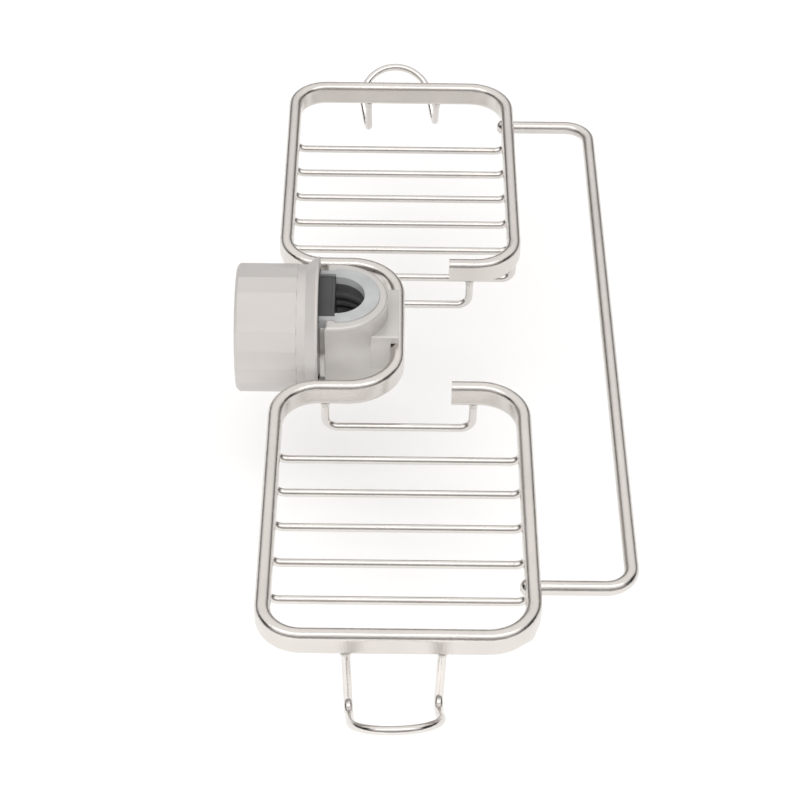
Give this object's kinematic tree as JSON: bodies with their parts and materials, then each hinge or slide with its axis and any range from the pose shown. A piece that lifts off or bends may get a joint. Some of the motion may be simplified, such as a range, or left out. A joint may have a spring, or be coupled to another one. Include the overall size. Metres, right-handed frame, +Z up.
{
  "type": "shower caddy",
  "caption": "Twin-tray wire shower caddy with a towel bar and hooks, clamped to a riser rail by a knob.",
  "frame": {"origin": "centre of the riser rail's bore at the strip's mid-height", "axes": "+X from the rail towards the towel bar, +Y towards one tray, +Z up along the rail"},
  "size_m": [0.1678, 0.4496, 0.0636],
  "materials": {
    "frame_metal": "satin nickel plate with a fine grain",
    "clamp_grey": "satin silver-grey paint",
    "insert_grey": "satin moulded grey",
    "knob_grey": "satin silver-grey paint",
    "core_plastic": "natural moulded",
    "dark_plastic": "matt dark grey",
    "dark_rubber": "matt ribbed",
    "screw_steel": "bright zinc"
  },
  "bodies": {
    "caddy": {"frame_strip": "frame_metal", "towel_bar": "frame_metal", "bar_rivet": "frame_metal", "slat_far_1": "frame_metal", "slat_far_2": "frame_metal", "slat_far_3": "frame_metal", "slat_far_4": "frame_metal", "slat_far_5": "frame_metal", "slat_far_6": "frame_metal", "slat_near_1": "frame_metal", "slat_near_2": "frame_metal", "slat_near_3": "frame_metal", "slat_near_4": "frame_metal", "slat_near_5": "frame_metal", "slat_near_6": "frame_metal", "end_loop_far": "frame_metal", "end_loop_near": "frame_metal", "hook_far": "frame_metal", "hook_near": "frame_metal", "clamp_body": "clamp_grey", "clamp_insert": "insert_grey", "bore_liner": "dark_rubber", "pad_screw": "screw_steel", "insert_screw": "screw_steel"},
    "jaw": {"clamp_jaw": "dark_plastic", "jaw_pad": "dark_rubber", "jaw_screw": "screw_steel", "jaw_washer": "screw_steel"},
    "knob": {"knob_shell": "knob_grey", "knob_core": "core_plastic", "skirt_ring": "core_plastic", "knob_cap": "knob_grey"}
  },
  "joints": [
    {"name": "jaw_slide", "type": "slide", "parent": "caddy", "child": "jaw", "axis": [1, 0, 0], "range_m": [-0.0121, 0]},
    {"name": "knob_turn", "type": "hinge", "parent": "jaw", "child": "knob", "pos_m": [0, 0, 0], "axis": [1, 0, 0], "range_deg": [-1089, 0]}
  ],
  "couplings": [
    {"joint": "knob_turn", "follows": "jaw_slide", "rad_per_m": 1570.8}
  ]
}
